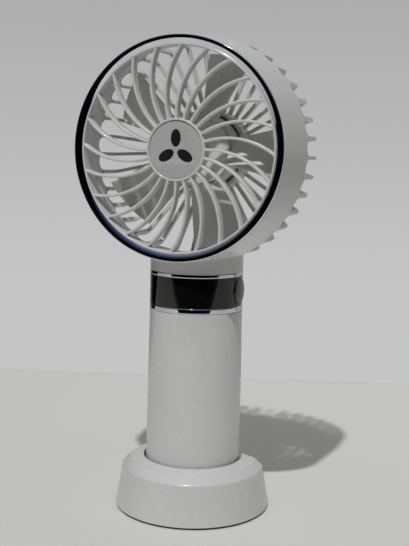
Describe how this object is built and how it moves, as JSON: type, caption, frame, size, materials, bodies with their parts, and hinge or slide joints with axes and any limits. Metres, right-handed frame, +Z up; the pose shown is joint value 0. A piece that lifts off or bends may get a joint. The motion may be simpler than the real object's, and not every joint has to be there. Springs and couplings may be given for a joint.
{
  "type": "handheld electric fan",
  "caption": "Handheld electric fan with a round caged head on a tapered handle, standing upright in a weighted round base whose collar is open at the back.",
  "frame": {"origin": "middle of the round base's underside, on the surface that it stands on", "axes": "+Z up along the handle, -Y the way the fan blows, +X towards the button"},
  "size_m": [0.101, 0.0708, 0.2128],
  "materials": {
    "white_shell": "satin white moulded plastic",
    "white_inner": "matte white moulded plastic",
    "translucent_white": "milky translucent plastic",
    "hub_silver": "satin silver-grey lacquer",
    "chrome_trim": "mirror chrome plating",
    "gloss_black": "piano black",
    "button_black": "gloss black",
    "mark_black": "printed black",
    "foot_rubber": "matte black rubber",
    "ballast_steel": "plain steel",
    "screw_steel": "zinc plated",
    "board_green": "solder mask",
    "component_black": "moulded epoxy",
    "socket_steel": "stamped steel",
    "tongue_black": "moulded plastic",
    "lens_clear": "clear plastic",
    "cell_wrap": "shrink wrap",
    "insulator_paper": "fish paper",
    "nickel": "nickel strip",
    "lead_sheath": "silicone sheath",
    "switch_black": "moulded plastic",
    "motor_metal": "turned",
    "bearing_bronze": "sintered bronze",
    "stator_steel": "laminated",
    "copper": "enamelled copper",
    "rotor_steel": "pressed steel",
    "magnet": "ferrite"
  },
  "bodies": {
    "base": {"base_shell": "white_shell", "base_plate": "white_inner", "ballast_disc": "ballast_steel", "foot_ring": "foot_rubber", "base_screws": "screw_steel"},
    "fan": {"handle_tube": "white_shell", "handle_bottom_cap": "white_shell", "cap_screws": "screw_steel", "charging_board": "board_green", "charging_board_parts": "component_black", "charging_socket": "socket_steel", "socket_tongue": "tongue_black", "charge_light_lens": "lens_clear", "cell": "cell_wrap", "cell_insulator": "insulator_paper", "cell_tabs": "nickel", "cell_cradle": "white_inner", "charge_lead": "lead_sheath", "cell_lead": "lead_sheath", "lower_trim_ring": "chrome_trim", "neck_band": "gloss_black", "upper_trim_ring": "chrome_trim", "neck_sleeve": "white_inner", "switch_body": "switch_black", "control_board": "board_green", "board_frame": "white_inner", "frame_screws": "screw_steel", "control_board_parts": "component_black", "head_housing": "white_shell", "rear_cap": "white_shell", "front_grille": "white_shell", "chrome_ring": "chrome_trim", "hub_cap": "hub_silver", "hub_mark": "mark_black", "motor_base": "motor_metal", "motor_screws": "screw_steel", "front_bearing": "bearing_bronze", "rear_bearing": "bearing_bronze", "motor_board": "board_green", "stator_core": "stator_steel", "stator_windings": "copper", "motor_lead": "lead_sheath"},
    "button": {"power_button": "button_black", "switch_plunger": "switch_black"},
    "rotor": {"rotor_cup": "rotor_steel", "magnet_ring": "magnet", "motor_shaft": "rotor_steel", "shaft_clip": "screw_steel", "impeller": "translucent_white"}
  },
  "joints": [
    {"name": "lift_off", "type": "slide", "parent": "base", "child": "fan", "axis": [0, 0, 1], "range_m": [0, 0.04]},
    {"name": "power_button_press", "type": "slide", "parent": "fan", "child": "button", "axis": [-1, 0, 0], "range_m": [0, 0.0006], "stiffness_N_per_m": 900, "springref_m": -0.0004},
    {"name": "impeller_spin", "type": "hinge", "parent": "fan", "child": "rotor", "pos_m": [0, 0, 0.1623], "axis": [0, -1, 0], "continuous": true}
  ]
}
